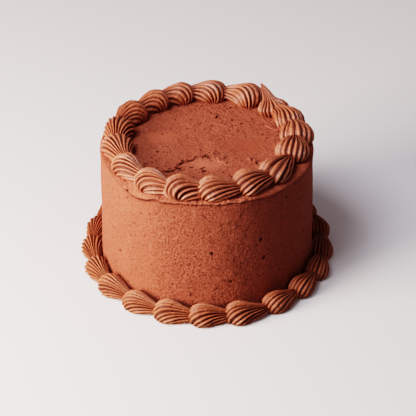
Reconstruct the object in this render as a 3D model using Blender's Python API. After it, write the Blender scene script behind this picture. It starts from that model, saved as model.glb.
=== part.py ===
"""Round chocolate buttercream cake, piped with a border of shells on top and another round its foot.

The cake stands on z = 0 with its axis on Z, and its front faces -Y.  Seen from above, the shells
are piped anticlockwise: each one has a broad head and a tail that lies under the head of the next.
"""
import math
import random
from collections import namedtuple

import bmesh
import bpy
import numpy as np
from mathutils import Vector

MM = 0.001
GAP = 0.3 * MM
MERGE_DISTANCE = 0.001 * MM
SHARP_ANGLE = math.radians(50)

# The coated cake
CAKE_HEIGHT = 90 * MM
TOP_RADIUS = 73.4 * MM
BASE_RADIUS = 74.9 * MM
RIM_WIDTH = 4 * MM
RIM_DEPTH = 2.4 * MM
BODY_COLUMNS = 80
BODY_ROW_HEIGHTS = [18 * MM, 36 * MM, 54 * MM, 72 * MM]
BODY_TOP_RADII = [46 * MM, 22 * MM]
RIM_STEPS = 3

# The lip of cream that the palette knife left below the rim
LIP_HANG = 3.2 * MM
LIP_OUT = 0.3 * MM
LIP_EDGE = 0.5 * MM
LIP_STEP = 0.15 * MM
LIP_FADE = 60 * MM
LipPatch = namedtuple("LipPatch", "azimuth half_width hang out")
LIP_PATCHES = [
    LipPatch(-130, 17, 2.6 * MM, 1.5 * MM),
    LipPatch(-113, 9, 0.2 * MM, 0.5 * MM),
    LipPatch(-35, 24, 0.5 * MM, 0.2 * MM),
    LipPatch(70, 30, 1.0 * MM, 0.4 * MM),
    LipPatch(135, 25, 0.6 * MM, 0.3 * MM),
]

# Slow waves in the coat: amplitude, turns round the cake, turns up the side, start
SIDE_WAVES = [(0.22 * MM, 3, 0.4, 0.6), (0.14 * MM, 7, -0.7, 2.1), (0.08 * MM, 13, 1.3, 4.0)]
SIDE_CLEARANCE = GAP + 0.45 * MM

# A piped shell: half length and rise of its head's crest above its widest level, depth
# below that level, and how high the level stands on the surface
HEAD_LENGTH = 9.8 * MM
HEAD_RISE = 9.3 * MM
HEAD_DEPTH = 6.5 * MM
WIDEST_LEVEL = 4 * MM
RIDGES = 15
GROOVE_SHARE = 0.16

# The tail: its length in head radii, how wide it spreads and how far it dips, in degrees.
# The last shell's tail is pulled up into a peak instead.
TAIL = (3.0, 18, 0)
PEAK = (2.75, 15, -56)
PEAK_HEAD_RISE = 5.8 * MM

# How much the lengths and crests of the heads vary, either way
UNEVENNESS = 0.03

# The net of points on a shell: two columns to each ridge and one under its tail, and rows
# from the foot's middle, up the surface by these shares, and in over the end of the tail
SHELL_COLUMNS = 24
SURFACE_ROWS = [0, 0.22, 0.46, 0.72, 1]
LEAST_ARC = 0.02
HALVINGS = 24
HEAD_CLEARANCE = 1 + 0.4 / 9

# Borders, in the order piped: azimuth of each head in degrees, distance of its middle from
# the axis and half its width in millimetres, and how far its tail turns inward in degrees.
# The bottom ring's other shells follow in even steps.
Place = namedtuple("Place", "azimuth radius half_width turn")
TOP_RING = [
    Place(61.0, 63.2, 11.0, 0), Place(85.2, 61.8, 10.0, -2), Place(106.5, 61.8, 9.4, 0),
    Place(126, 61.0, 9.4, 2), Place(146.5, 61.8, 10.8, -2), Place(168, 62.2, 11.3, 0),
    Place(188.3, 61.9, 12.0, 2), Place(212, 63.5, 10.5, 3), Place(233.5, 63.7, 10.8, 2),
    Place(255, 63.8, 12.0, 8), Place(274, 62.0, 11.3, -6), Place(295.8, 61.6, 10.8, -8),
    Place(316.5, 60.5, 10.2, -2), Place(343.5, 60.4, 11.6, 0), Place(363.5, 62.6, 12.0, 2),
    Place(381.5, 63.0, 10.3, 0), Place(401.8, 62.8, 11.2, -12),
]
BASE_RING = [
    Place(163.2, 81.3, 9.0, 0), Place(180.4, 81.2, 8.9, 2), Place(198.9, 81.7, 9.1, 0),
    Place(215.6, 82.6, 9.3, 3), Place(233.6, 83.4, 9.0, 0), Place(250.8, 83.4, 10.0, -2),
    Place(267.3, 83.5, 10.1, 0), Place(284.3, 84.0, 9.9, -3), Place(304.0, 83.5, 8.9, 0),
    Place(321.7, 82.8, 8.8, 0), Place(338.1, 82.3, 9.2, 2), Place(355.2, 81.5, 8.9, 0),
    Place(373.5, 82.2, 9.0, -2),
]
BASE_SHELL_COUNT = 21
BASE_SIZE = 0.96
OTHER_BASE_RADII = (81.4, 82.6)
OTHER_BASE_HALF_WIDTHS = (8.8, 9.6)
OTHER_BASE_TURNS = (-3, 3)

ShellForm = namedtuple("ShellForm", "azimuth ring_radius turn length width rise depth tail")


def clear_scene():
    for thing in list(bpy.data.objects):
        bpy.data.objects.remove(thing)


def make_material(name, colour, roughness):
    material = bpy.data.materials.new(name)
    material.use_nodes = True
    shader = material.node_tree.nodes["Principled BSDF"]
    shader.inputs["Base Color"].default_value = (*colour, 1)
    shader.inputs["Roughness"].default_value = roughness
    shader.inputs["Metallic"].default_value = 0
    return material


def link_object(name, mesh, material=None):
    thing = bpy.data.objects.new(name, mesh)
    bpy.context.collection.objects.link(thing)
    if material:
        mesh.materials.append(material)
    return thing


def finish_mesh(bm, name):
    """Make the faces triangles that face outward, and turn them into a mesh."""
    bmesh.ops.remove_doubles(bm, verts=bm.verts, dist=MERGE_DISTANCE)
    bmesh.ops.triangulate(bm, faces=bm.faces)
    bmesh.ops.recalc_face_normals(bm, faces=bm.faces)
    mesh = bpy.data.meshes.new(name)
    bm.to_mesh(mesh)
    bm.free()
    mesh.shade_smooth()
    mesh.set_sharp_from_angle(angle=SHARP_ANGLE)
    return mesh


def hump(azimuth, centre, half_width):
    """Rise smoothly from 0 to 1 and back across an arc of the cake, all in degrees."""
    away = abs((azimuth - centre + 180) % 360 - 180) / half_width
    return 0.5 + 0.5 * math.cos(math.pi * away) if away < 1 else 0.0


def lip_at(azimuth):
    """How far the lip hangs below the top, and how far it stands out, at an azimuth in degrees."""
    hang = LIP_HANG
    out = LIP_OUT
    for patch in LIP_PATCHES:
        share = hump(azimuth, patch.azimuth, patch.half_width)
        hang += share * patch.hang
        out += share * patch.out
    return hang, out


def body_point(azimuth, radius, height):
    """Place a point of the plainly turned cake on the uneven one.  The azimuth is in radians."""
    hang, out = lip_at(math.degrees(azimuth))
    lip_height = CAKE_HEIGHT - LIP_HANG
    if radius > TOP_RADIUS - RIM_WIDTH - LIP_EDGE and height > LIP_EDGE:
        for size, turns, climb, start in SIDE_WAVES:
            phase = turns * azimuth + math.tau * climb * height / CAKE_HEIGHT + start
            radius += size * math.sin(phase)
    if height > lip_height:
        radius += out
        height -= (hang - LIP_HANG) * max(0, CAKE_HEIGHT - RIM_DEPTH - height) / (LIP_HANG - RIM_DEPTH)
    elif height > LIP_FADE:
        height -= (hang - LIP_HANG) * (height - LIP_FADE) / (lip_height - LIP_FADE)
    return Vector((radius * math.cos(azimuth), radius * math.sin(azimuth), height))


def body_profile():
    """The turned outline of the cake as radius and height, from the foot's centre to the top's."""
    lip_height = CAKE_HEIGHT - LIP_HANG
    outline = [(0, 0), (BASE_RADIUS, 0)]
    for height in BODY_ROW_HEIGHTS + [lip_height - LIP_EDGE]:
        radius = BASE_RADIUS + (TOP_RADIUS - BASE_RADIUS) * height / CAKE_HEIGHT
        outline.append((radius, height))
    outline.append((TOP_RADIUS, lip_height + LIP_STEP))
    for step in range(RIM_STEPS + 1):
        angle = 0.5 * math.pi * step / RIM_STEPS
        radius = TOP_RADIUS - RIM_WIDTH * (1 - math.cos(angle))
        height = CAKE_HEIGHT - RIM_DEPTH * (1 - math.sin(angle))
        outline.append((radius, height))
    outline += [(radius, CAKE_HEIGHT) for radius in BODY_TOP_RADII]
    outline.append((0, CAKE_HEIGHT))
    return outline


def body_mesh(name):
    """Turn the outline about the axis, then move its points onto the uneven cake."""
    bm = bmesh.new()
    points = [bm.verts.new((radius, 0, height)) for radius, height in body_profile()]
    edges = [bm.edges.new(pair) for pair in zip(points, points[1:])]
    bmesh.ops.spin(bm, geom=points + edges, axis=(0, 0, 1), cent=(0, 0, 0), angle=math.tau,
                   steps=BODY_COLUMNS, use_merge=True)
    bmesh.ops.remove_doubles(bm, verts=bm.verts, dist=MERGE_DISTANCE)
    for vert in bm.verts:
        azimuth = math.atan2(vert.co.y, vert.co.x)
        vert.co = body_point(azimuth, vert.co.xy.length, vert.co.z)
    return finish_mesh(bm, name)


def sphere_arcs(longitude, share, tail):
    """Points on the unit sphere along the arcs that run from its lowest point to the tail.

    A plane through both ends cuts the sphere in each arc.  Longitude 0 runs up the front
    of the head and back along the crest; a share of 0 is the lowest point and 1 the tail.
    """
    lowest = np.array([0, 0, -1.0])
    half_chord = 0.5 * np.linalg.norm(tail - lowest)
    along = (tail - lowest) / (2 * half_chord)
    middle = 0.5 * (tail + lowest)
    over_head = -middle / np.linalg.norm(middle)
    sideways = np.array([0, 1.0, 0])
    toward = np.outer(np.cos(longitude), over_head) + np.outer(np.sin(longitude), sideways)
    normal = np.cross(along, toward)
    offset = toward @ middle
    radius = np.hypot(half_chord, offset)
    angle = np.arctan2(half_chord, offset) * (2 * share - 1)
    across = toward * np.cos(angle)[:, None] + along * np.sin(angle)[:, None]
    return normal * (normal @ middle)[:, None] + radius[:, None] * across


def tail_direction(form):
    dip = math.radians(form.tail[2])
    return np.array([math.cos(dip), 0, -math.sin(dip)])


def stretch(directions, form):
    """Distance of the smooth surface from the head's middle, drawn out towards the tail."""
    reach, spread, _ = form.tail
    from_tail = np.arccos(np.clip(directions @ tail_direction(form), -1, 1))
    return 1 + (reach - 1) * np.exp(-from_tail / math.radians(spread))


def heights(points, form):
    return np.where(points[:, 2] > 0, form.rise, form.depth)


def onto_ring(points, form):
    """Turn points round a unit head into azimuth, distance from the axis and height."""
    x = points[:, 0] * form.length
    y = points[:, 1] * form.width
    turn = math.radians(form.turn)
    forward = x * math.cos(turn) - y * math.sin(turn)
    inward = x * math.sin(turn) + y * math.cos(turn)
    azimuth = math.radians(form.azimuth) + forward / form.ring_radius
    return np.column_stack([azimuth, form.ring_radius - inward, points[:, 2] * heights(points, form)])


def off_ring(ring, form):
    """Turn azimuth, distance and height back into a point round a shell's unit head."""
    away = (ring[:, 0] - math.radians(form.azimuth) + math.pi) % math.tau - math.pi
    forward = away * form.ring_radius
    inward = form.ring_radius - ring[:, 1]
    turn = math.radians(form.turn)
    x = forward * math.cos(turn) + inward * math.sin(turn)
    y = inward * math.cos(turn) - forward * math.sin(turn)
    z = ring[:, 2] / heights(ring, form)
    return np.column_stack([x / form.length, y / form.width, z])


def fullness(ring, form):
    """Below 1 inside a shell's smooth surface, and above 1 outside it."""
    points = off_ring(ring, form)
    size = np.linalg.norm(points, axis=1)
    return size / stretch(points / size[:, None], form)


def clear_of_side(ring, level):
    """Keep points at a border's level outside the cake's side."""
    height = np.clip(ring[:, 2] + level, 0, CAKE_HEIGHT)
    side = BASE_RADIUS + (TOP_RADIUS - BASE_RADIUS) * height / CAKE_HEIGHT
    ring[:, 1] = np.maximum(ring[:, 1], side + SIDE_CLEARANCE)
    return ring


def first_true(test):
    """The share, in each column, at which a test turns from false to true."""
    low = np.zeros(SHELL_COLUMNS)
    high = np.ones(SHELL_COLUMNS)
    for _ in range(HALVINGS):
        middle = 0.5 * (low + high)
        passed = test(middle)
        high = np.where(passed, middle, high)
        low = np.where(passed, low, middle)
    return high


def shell_net(form, following, foot, level):
    """All points of one shell, row by row from its foot's middle to the end of its tail.

    The foot is flat, and the end of the tail follows the head of the following shell.
    """
    column = np.arange(SHELL_COLUMNS) - SHELL_COLUMNS // 2
    longitude = math.pi * column / RIDGES
    longitude[0] = math.pi
    groove = 1 - GROOVE_SHARE * (column % 2)

    def surface(share):
        directions = sphere_arcs(longitude, share, tail_direction(form))
        size = stretch(directions, form) * groove
        ring = onto_ring(directions * size[:, None], form)
        return clear_of_side(ring, level) if level < CAKE_HEIGHT else ring

    end = np.full(SHELL_COLUMNS, 1 - 1e-6)
    if following:
        end = first_true(lambda share: fullness(surface(share), following) < HEAD_CLEARANCE)
    start = np.minimum(first_true(lambda share: surface(share)[:, 2] > foot), end - LEAST_ARC)
    rows = [surface(start + (end - start) * share) for share in SURFACE_ROWS]
    rows[0][:, 2] = foot
    rows.insert(0, np.tile(rows[0].mean(axis=0), (SHELL_COLUMNS, 1)))
    if following:
        rim = off_ring(rows[-1], following)
        middle = np.tile(rim.mean(axis=0), (SHELL_COLUMNS, 1))
        for cover in (0.5 * (rim + middle), middle):
            directions = cover / np.linalg.norm(cover, axis=1)[:, None]
            size = HEAD_CLEARANCE * stretch(directions, following)
            rows.append(onto_ring(directions * size[:, None], following))
    net = np.array(rows)
    net[:, :, 2] = np.maximum(net[:, :, 2], foot)
    return net


def shell_mesh(name, form, following, foot, level):
    """Model one shell on a sphere's net, with its own place on the ring as its origin."""
    net = shell_net(form, following, foot, level)
    last_row = len(net) - 1
    bm = bmesh.new()
    bmesh.ops.create_uvsphere(bm, u_segments=SHELL_COLUMNS, v_segments=last_row, radius=1)
    for vert in bm.verts:
        column = round(math.atan2(vert.co.y, vert.co.x) / math.tau * SHELL_COLUMNS)
        row = last_row - round(math.acos(max(-1, min(1, vert.co.z))) / math.pi * last_row)
        azimuth, radius, height = net[row][(column + SHELL_COLUMNS // 2) % SHELL_COLUMNS]
        away = azimuth - math.radians(form.azimuth)
        forward = radius * math.sin(away)
        inward = form.ring_radius - radius * math.cos(away)
        vert.co = (forward, inward, height)
    return finish_mesh(bm, name)


def place_on_ring(thing, form, level):
    """Stand a shell on its ring, with its +X along the ring and its +Y to the cake's axis."""
    angle = math.radians(form.azimuth)
    thing.location = (form.ring_radius * math.cos(angle), form.ring_radius * math.sin(angle), level)
    thing.rotation_euler = (0, 0, angle + 0.5 * math.pi)


def pipe_shell(name, form, following, foot, level, material):
    mesh = shell_mesh(name, form, following, foot, level)
    shell = link_object(name, mesh, material)
    place_on_ring(shell, form, level)
    return shell


def varied_form(place, size, tail, rng):
    """A shell's form at its place on a ring, no two quite alike."""
    return ShellForm(
        azimuth=place.azimuth,
        ring_radius=place.radius * MM,
        turn=place.turn,
        length=HEAD_LENGTH * size * rng.uniform(1 - UNEVENNESS, 1 + UNEVENNESS),
        width=place.half_width * MM,
        rise=HEAD_RISE * size * rng.uniform(1 - UNEVENNESS, 1 + UNEVENNESS),
        depth=HEAD_DEPTH * size,
        tail=tail,
    )


def pipe_top_border(material):
    """Pipe the ring on top.  Its last shell ends in a peak that stands over the first one's head."""
    rng = random.Random(17)
    forms = [varied_form(place, 1, TAIL, rng) for place in TOP_RING[:-1]]
    forms.append(varied_form(TOP_RING[-1], 1, PEAK, rng)._replace(rise=PEAK_HEAD_RISE))
    level = CAKE_HEIGHT + WIDEST_LEVEL
    foot = GAP - WIDEST_LEVEL
    shells = []
    for number, (form, following) in enumerate(zip(forms, forms[1:] + [None]), 1):
        shells.append(pipe_shell(f"top_shell_{number:02d}", form, following, foot, level, material))
    peak = forms[-1]
    grown = peak._replace(length=peak.length + 2 * GAP, width=peak.width + 2 * GAP,
                          rise=peak.rise + 2 * GAP, depth=peak.depth + 2 * GAP)
    cutter = pipe_shell("peak_clearance", grown, None, foot - 2 * GAP, level, material)
    cutter.hide_render = True
    cutter.display_type = "WIRE"
    clearance = shells[0].modifiers.new("clear of the peak", "BOOLEAN")
    clearance.operation = "DIFFERENCE"
    clearance.object = cutter


def base_places(rng):
    """The bottom heads that differ in their places, then even steps back to the first."""
    places = list(BASE_RING)
    missing = BASE_SHELL_COUNT - len(places)
    first, last = places[0], places[-1]
    step = (first.azimuth + 360 - last.azimuth) / (missing + 1)
    for number in range(missing):
        places.append(Place(
            azimuth=last.azimuth + step * (number + 1),
            radius=rng.uniform(*OTHER_BASE_RADII),
            half_width=rng.uniform(*OTHER_BASE_HALF_WIDTHS),
            turn=rng.uniform(*OTHER_BASE_TURNS),
        ))
    return places


def pipe_base_border(material):
    """Pipe the closed ring round the foot, against the cake's side."""
    rng = random.Random(21)
    forms = [varied_form(place, BASE_SIZE, TAIL, rng) for place in base_places(rng)]
    level = WIDEST_LEVEL * BASE_SIZE
    for number, (form, following) in enumerate(zip(forms, forms[1:] + forms[:1]), 1):
        pipe_shell(f"base_shell_{number:02d}", form, following, -level, level, material)


def main():
    clear_scene()
    coat = make_material("coat_buttercream", (0.42, 0.16, 0.075), 0.6)
    piped = make_material("piped_buttercream", (0.36, 0.12, 0.055), 0.45)
    link_object("cake_body", body_mesh("cake_body"), coat)
    pipe_top_border(piped)
    pipe_base_border(piped)


main()
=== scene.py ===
"""Looks of a round chocolate buttercream cake with piped shells round its top edge and its foot.

Lengths are real ones in metres, or in millimetres where a comment says so, and the cake faces -Y.
"""

import math
from collections import namedtuple

import bmesh
import bpy
import numpy as np
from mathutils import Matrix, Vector, noise


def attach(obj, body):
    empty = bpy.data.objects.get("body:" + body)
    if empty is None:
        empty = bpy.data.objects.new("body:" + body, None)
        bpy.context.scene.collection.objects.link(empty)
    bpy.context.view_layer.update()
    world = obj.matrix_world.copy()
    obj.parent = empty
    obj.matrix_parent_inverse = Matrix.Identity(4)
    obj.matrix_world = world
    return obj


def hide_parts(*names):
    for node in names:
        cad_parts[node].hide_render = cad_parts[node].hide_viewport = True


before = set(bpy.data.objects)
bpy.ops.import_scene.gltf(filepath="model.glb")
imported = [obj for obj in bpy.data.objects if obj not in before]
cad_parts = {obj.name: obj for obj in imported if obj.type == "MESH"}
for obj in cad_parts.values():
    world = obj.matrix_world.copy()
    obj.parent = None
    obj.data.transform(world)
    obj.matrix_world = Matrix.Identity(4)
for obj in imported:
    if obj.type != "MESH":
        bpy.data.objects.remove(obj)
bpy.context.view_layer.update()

MM = 0.001
SEAM_WIDTH = 0.002 * MM

# The cake under its coat of cream.  The middle of the top is a disc of its own, which overlaps the
# rest of the coat and reaches down to a sunk floor in it.
CAKE_HEIGHT = 90 * MM
TOP_RADIUS = 73.4 * MM
BASE_RADIUS = 74.9 * MM
RIM_WIDTH = 4 * MM
FOOT_ROUNDING = 0.5 * MM
PLAIN_FOOT = 3 * MM
INNER_RADIUS = 61 * MM
TOP_OVERLAP = 1.5 * MM
TOP_SINK = 2 * MM
TOP_SKIRT = 2.4 * MM
TOP_LIFT = 0.02 * MM
TOP_EDGE_FADE = 4 * MM

# Points on the coat: round the cake, up its side, over the rim, in to the top, and across the top
SIDE_COLUMNS = 700
SIDE_ROWS = 104
RIM_ROWS = 14
LEDGE_ROWS = 10
TOP_GRID = 250
UNDER_LIP = SIDE_ROWS + 2

# Lumps in the cream: height and length in millimetres, and a number that picks the random ones
Lumps = namedtuple("Lumps", "height length seed")
SEED_STEP = 17.3

# The lower edge of the cream that was drawn over the rim: azimuth in degrees, the height of the
# edge and how far it stands out, in millimetres
LipEdge = namedtuple("LipEdge", "azimuth height out")
LIP = [
    LipEdge(-180, 87.6, 0.4), LipEdge(-156, 89.0, 0.4), LipEdge(-149, 88.9, 1.3), LipEdge(-144, 88.1, 1.8),
    LipEdge(-138, 86.8, 2.0), LipEdge(-134, 85.3, 2.2), LipEdge(-129, 84.9, 2.1), LipEdge(-124, 85.5, 1.9),
    LipEdge(-120, 86.9, 1.5), LipEdge(-117, 87.7, 1.3), LipEdge(-113, 87.2, 1.3), LipEdge(-108, 87.4, 0.9),
    LipEdge(-103, 88.0, 0.4), LipEdge(-90, 88.3, 0.3), LipEdge(-78, 88.2, 0.3), LipEdge(-67, 87.9, 0.4),
    LipEdge(-55, 86.8, 0.5), LipEdge(-44, 86.6, 0.6), LipEdge(-36, 87.3, 0.5), LipEdge(-28, 86.4, 0.5),
    LipEdge(-18, 87.3, 0.4), LipEdge(5, 86.8, 0.5), LipEdge(35, 87.6, 0.4), LipEdge(70, 86.2, 0.7),
    LipEdge(100, 87.2, 0.4), LipEdge(135, 86.6, 0.6), LipEdge(160, 87.5, 0.4), LipEdge(180, 87.6, 0.4),
]
LIP_RAGGEDNESS = Lumps(0.5, 5, 1)
LIP_THICKNESS = Lumps(0.25, 7, 2)
LEAST_LIP = 0.05 * MM

# Under the edge the coat is cut in, and the edge droops over it, by shares of how far it stands out.
# Over it the rim is rounder where the lip is thick.
LIP_STEP = 0.75 * MM
LIP_UNDERCUT = 0.5
LIP_OVERHANG = 0.75
LIP_DROOP = 0.5
RIM_ROUNDNESS = 0.85
LIP_ROUNDNESS = 0.35

# The shadow painted below the lip: how dark it is from a thin lip to a deep one, and how far it reaches
THIN_LIP = 0.5 * MM
DEEP_LIP = 1.6 * MM
LIP_SHADOWS = (0.06, 0.85)
SHADOW_SHARE = 0.7
SHADOW_HEIGHT = 1.5 * MM
SHADOW_FADE = 0.8 * MM

# Slow waves in the coat: amplitude, turns round the cake, turns up the side, start
SIDE_WAVES = [(0.22 * MM, 3, 0.4, 0.6), (0.14 * MM, 7, -0.7, 2.1), (0.08 * MM, 13, 1.3, 4.0)]
SIDE_LUMPS = [Lumps(0.24, 9, 3), Lumps(0.16, 2, 4)]

# Streaks of the knife, drawn out along the side and tilted a little
STREAKS = Lumps(0.12, 34, 5)
STREAK_STRETCH = 9
STREAK_TILT = 0.5 * TOP_RADIUS

# Where the side is grainy, as azimuths in degrees: start, fade in, end, fade out
FRONT_GRAIN = (-138, 30, -48, 26)
BACK_GRAIN = (-20, 40, 180, 40)
BACK_PATCHES = Lumps(1.5, 30, 18)
LEAST_GRAIN = 0.55

# Crumbly cream at the front of the rim: azimuth of its middle and its reach in degrees
RIM_CRUMBS = Lumps(1.1, 1.8, 6)
LOWEST_CRUMB = -0.22
CRUMBLY_FRONT = (-82, 26)
CRUMBLY_HEIGHT = 86.9 * MM
CRUMBLY_FADE = 1 * MM

# Lumps on the rim, which are higher where it was worked: start, fade in, end, fade out in degrees
RIM_LUMPS = [Lumps(0.3, 6, 7), Lumps(0.2, 2.2, 8)]
RIM_FADE = 2 * MM
RIM_DEPTH = 2.2 * MM
SIDE_FADE = 0.8 * RIM_WIDTH
WORKED_RIM = (-152, 12, -58, 12)
WORKED_SHARE = 1.6

# Lighter cream at the upper edge of the side: how light, the azimuth of its middle and its reach in
# degrees, and the height in millimetres that it starts at
LightPatch = namedtuple("LightPatch", "share azimuth reach height")
LIGHT_PATCHES = [LightPatch(0.35, -82, 24, 86.5), LightPatch(0.3, -130, 14, 86)]
LIGHT_FADE = 1 * MM

# Pits in the side: azimuth in degrees, height, width and depth in millimetres.  The small ones are
# random, between the two ends of each range.
Pit = namedtuple("Pit", "azimuth height width depth")
SIDE_PITS = [
    Pit(-136.6, 79.0, 1.3, 0.9), Pit(-143.1, 31.5, 1.4, 0.9), Pit(-124.4, 54.9, 1.1, 0.5),
    Pit(-60.3, 53.8, 1.9, 1.2), Pit(-58.2, 37.9, 1.7, 1.1), Pit(-77.1, 25.3, 1.4, 0.9),
    Pit(-98.4, 15.1, 1.4, 0.9), Pit(-135.3, 86.2, 2.2, 1.6), Pit(-87.3, 49.1, 2.0, 0.7),
    Pit(-90.4, 77.7, 1.2, 0.5), Pit(-73.6, 69.9, 1.2, 0.5), Pit(-43.0, 79.5, 1.4, 0.8),
    Pit(-95.6, 47.2, 1.2, 0.5), Pit(-98.8, 40.2, 1.3, 0.6), Pit(-25.8, 39.0, 1.5, 0.7),
    Pit(-85.1, 19.7, 1.2, 0.5),
]
SMALL_PIT_COUNT = 620
SMALL_PIT_HEIGHTS = (8, 86)
SMALL_PIT_WIDTHS = (0.8, 1.4)
SMALL_PIT_DEPTHS = (0.05, 0.45)

# A pit's walls, how many widths or lengths from its middle it ends, and the depth at which the shade painted
# into a pit is darkest
PIT_STEEPNESS = 0.7
PIT_REACH = 1.5
MARK_REACH = 2
FULL_SHADE_DEPTH = 0.5 * MM

# Marks in the top, in millimetres: middle, length, width, turn in degrees, depth (a crumb stands up)
Mark = namedtuple("Mark", "x y length width turn depth")
TOP_MARKS = [
    Mark(-18.2, -29.4, 3.0, 1.3, 10, 1.3), Mark(-10.0, -28.8, 3.6, 1.0, 22, 1.2),
    Mark(-2.5, -30.4, 4.2, 1.0, 48, 1.3), Mark(-1.6, -34.6, 3.2, 1.2, 25, 1.5),
    Mark(-3.6, -34.2, 2.6, 1.8, 0, -0.7), Mark(-16.6, -21.0, 2.0, 1.5, 40, 0.8),
    Mark(-0.2, -14.0, 2.2, 1.4, 60, 0.9), Mark(-3.4, -8.0, 3.2, 1.2, -50, 0.5),
    Mark(7.3, 35.8, 4.6, 1.1, 66, 0.9), Mark(17.2, 48.6, 2.6, 1.1, 40, 0.9),
    Mark(18.6, 31.6, 2.0, 1.3, 0, 0.8), Mark(24.8, 27.0, 1.9, 1.4, 20, 1.0),
    Mark(29.4, -19.4, 3.2, 2.0, -50, -1.2), Mark(31.2, -21.0, 3.4, 1.1, -52, 0.9),
    Mark(32.6, -23.0, 2.6, 1.9, -50, -1.1), Mark(34.4, -24.6, 2.2, 1.2, -60, 1.0),
    Mark(-28.9, 12.9, 2.2, 1.6, -20, -0.7), Mark(-30.6, 12.6, 1.8, 1.2, 0, 0.6),
    Mark(-33.6, -9.2, 2.2, 1.4, 60, 0.7), Mark(14.2, -23.6, 2.2, 1.0, 40, 0.5),
    Mark(37.0, 28.6, 4.4, 1.0, -22, -0.5), Mark(43.4, 22.4, 6.2, 1.2, -40, -0.8),
    Mark(8.5, -11.2, 2.2, 1.2, 60, 0.5),
]
TOP_PIT_COUNT = 560
TOP_PIT_REACH = 55 * MM
TOP_PIT_WIDTHS = (0.8, 1.35)
TOP_PIT_DEPTHS = (0.1, 0.6)

# Patches of the top that the knife left smooth, in millimetres, and how smooth and light they are
Oval = namedtuple("Oval", "x y half_length half_width")
SMOOTH_RIGHT = Oval(26, -2, 17, 11)
SMOOTH_LEFT = Oval(-32, 8, 12, 8)
SMOOTH_FRONT = Oval(-1, -26, 13, 8)
SMOOTHNESS = 0.75
FRONT_SMOOTHNESS = 0.8
FRONT_LIGHT = 0.4
RIGHT_DARK = 0.3
TOP_SWELL = Lumps(0.5, 18, 9)
TOP_LUMPS = [Lumps(0.34, 5, 10), Lumps(0.24, 1.8, 11)]
TOP_GRAIN = 0.7

# The torn edge that crosses the front of the top, from left to right, in millimetres, and how it
# wanders: height and length in millimetres and two numbers that pick the random ones
TORN_EDGE = [(-33, -37.5), (-29.6, -35.4), (-24.3, -33.0), (-20.6, -30.2), (-18.9, -24.6), (-14.8, -22.4),
             (-11.5, -20.6), (-6.6, -17.4), (-0.5, -14.9), (3.0, -17.6), (9.6, -22.5), (15, -24.5)]
TORN_WANDER = [(1.4, 4, 12, 13), (0.7, 1.6, 20, 21)]
TORN_START_FADE = 4 * MM
TORN_END_FADE = 8 * MM

# In front of the torn edge the top is lower, and rises again after a while
TORN_DROP = 0.7 * MM
TORN_STEP = 0.9 * MM
TORN_RISE = 9 * MM

# The crack along the torn edge: depth, how far it lies in front of the edge, half its width where
# it is thin and how much wider it is at the left, where that starts, where it ends, and its breaks
# How strong the crack is also sets the shade painted into it
TORN_CRACK = 1.0 * MM
CRACK_SHIFT = 0.1 * MM
CRACK_WIDTH = 0.6 * MM
CRACK_WIDENING = 0.3 * MM
CRACK_WIDE_FROM = -17 * MM
CRACK_WIDE_FADE = 4 * MM
CRACK_END = 6 * MM
CRACK_END_FADE = 5 * MM
CRACK_BREAKS = Lumps(1.6, 5, 14)
CRACK_MIDDLE = 0.8
CRACK_RANGE = (0.2, 1)

# Shreds that stand up behind the torn edge
SHREDS = Lumps(1.6, 1.5, 22)
LOWEST_SHRED = -0.16
SHREDS_BEHIND = 1.4 * MM
SHREDS_WIDTH = 1.3 * MM

# A piped shell's head: half its length, how deep it reaches below its widest level, and how high
# that level stands on the surface
HEAD_LENGTH = 9.8 * MM
HEAD_DEPTH = 8 * MM
WIDEST_LEVEL = 4 * MM
SHELL_LUMPS = [Lumps(0.5, 8, 15), Lumps(0.25, 2.6, 16), Lumps(0.2, 1.3, 19)]
LUMPY_WIDTH = 2.5 * MM
COLUMNS_PER_RIDGE = 8
SHELL_ROWS = 56
END_SHARE = 1e-4

# Grooves between ridges.  Their depth grows with the width of a ridge, more slowly for a wide one,
# up to the deepest.  The ridges vary in depth and height, and in width by waves round the shell.
GROOVE_DEPTH = 1.45
GROOVE_WIDTH = 1.3
DEEPEST_RIDGE = 2.7 * MM
PLAIN_RIDGE = 3.4 * MM
NARROW_SHARE = 1.4
RIDGE_DEPTHS = (0.7, 1.2)
RIDGE_DROPS = (0, 0.3)
GIRTH_WAVES = (2, 3, 5)
GIRTH_WAVE_SIZE = 0.09
GATHER_SIDE = -120

# The tail: its length in head radii, how wide it spreads and how far it dips, in degrees.
# The last shell's tail is pulled up into a peak instead.
TAIL = (3.0, 20, 0)
PEAK = (3.25, 8.5, -58)
TAIL_BLUNTNESS = 2.2

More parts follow.
